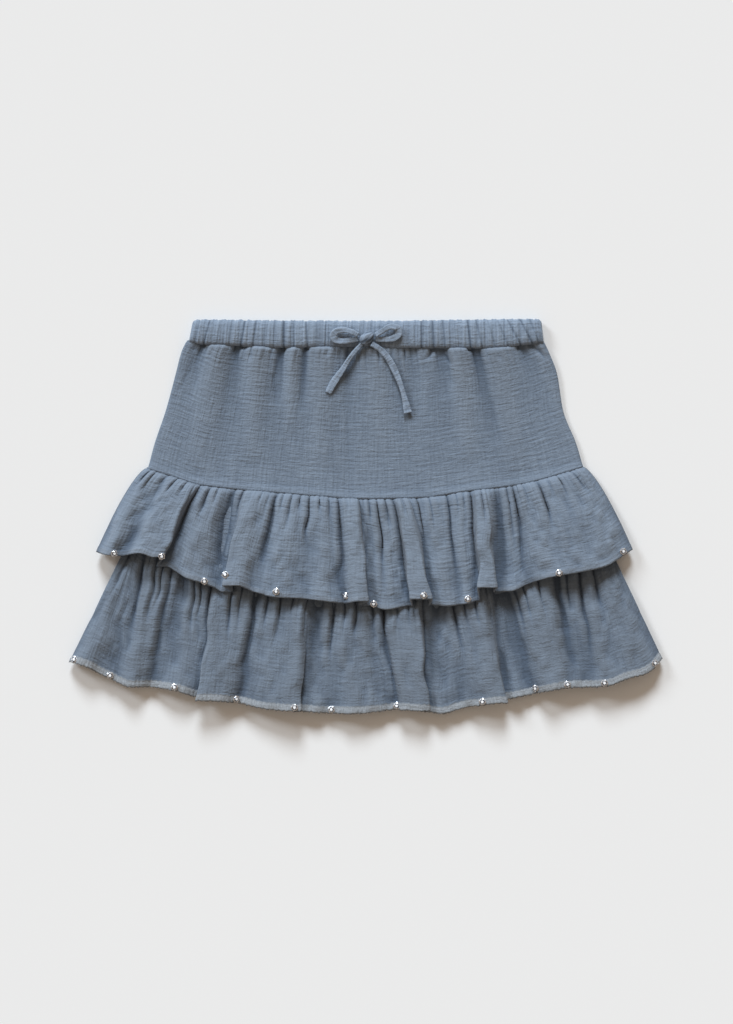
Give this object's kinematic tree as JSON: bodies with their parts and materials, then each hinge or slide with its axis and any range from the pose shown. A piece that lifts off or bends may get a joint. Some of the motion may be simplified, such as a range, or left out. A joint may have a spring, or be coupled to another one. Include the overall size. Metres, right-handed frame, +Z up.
{
  "type": "ruffle skirt",
  "caption": "Child's short elastic-waist skirt with layered gathered ruffles and a small tied bow, laid flat on a surface.",
  "frame": {"origin": "centre of the skirt's outline on the surface it lies on", "axes": "+X across the skirt toward the right side of the picture, +Y up the skirt toward the waist, +Z up from the surface, on the side of the skirt's front"},
  "size_m": [0.4736, 0.3163, 0.0228],
  "materials": {
    "gauze": "matt crinkled cotton double gauze, blue-grey",
    "gauze_band": "matt gathered double gauze over elastic, blue-grey",
    "tie": "matt folded double gauze strip, blue-grey",
    "stones": "small clear cut stones in silver-coloured settings"
  },
  "bodies": {
    "root": {"waistband_front": "gauze_band", "waistband_back": "gauze_band", "upper_front": "gauze", "upper_back": "gauze", "base_front": "gauze", "base_back": "gauze", "tier1_front": "gauze", "tier1_back": "gauze", "tier2_front": "gauze", "tier2_back": "gauze", "bow_knot": "tie", "loop_left": "tie", "loop_right": "tie", "tail_left": "tie", "tail_right": "tie"}
  },
  "joints": []
}
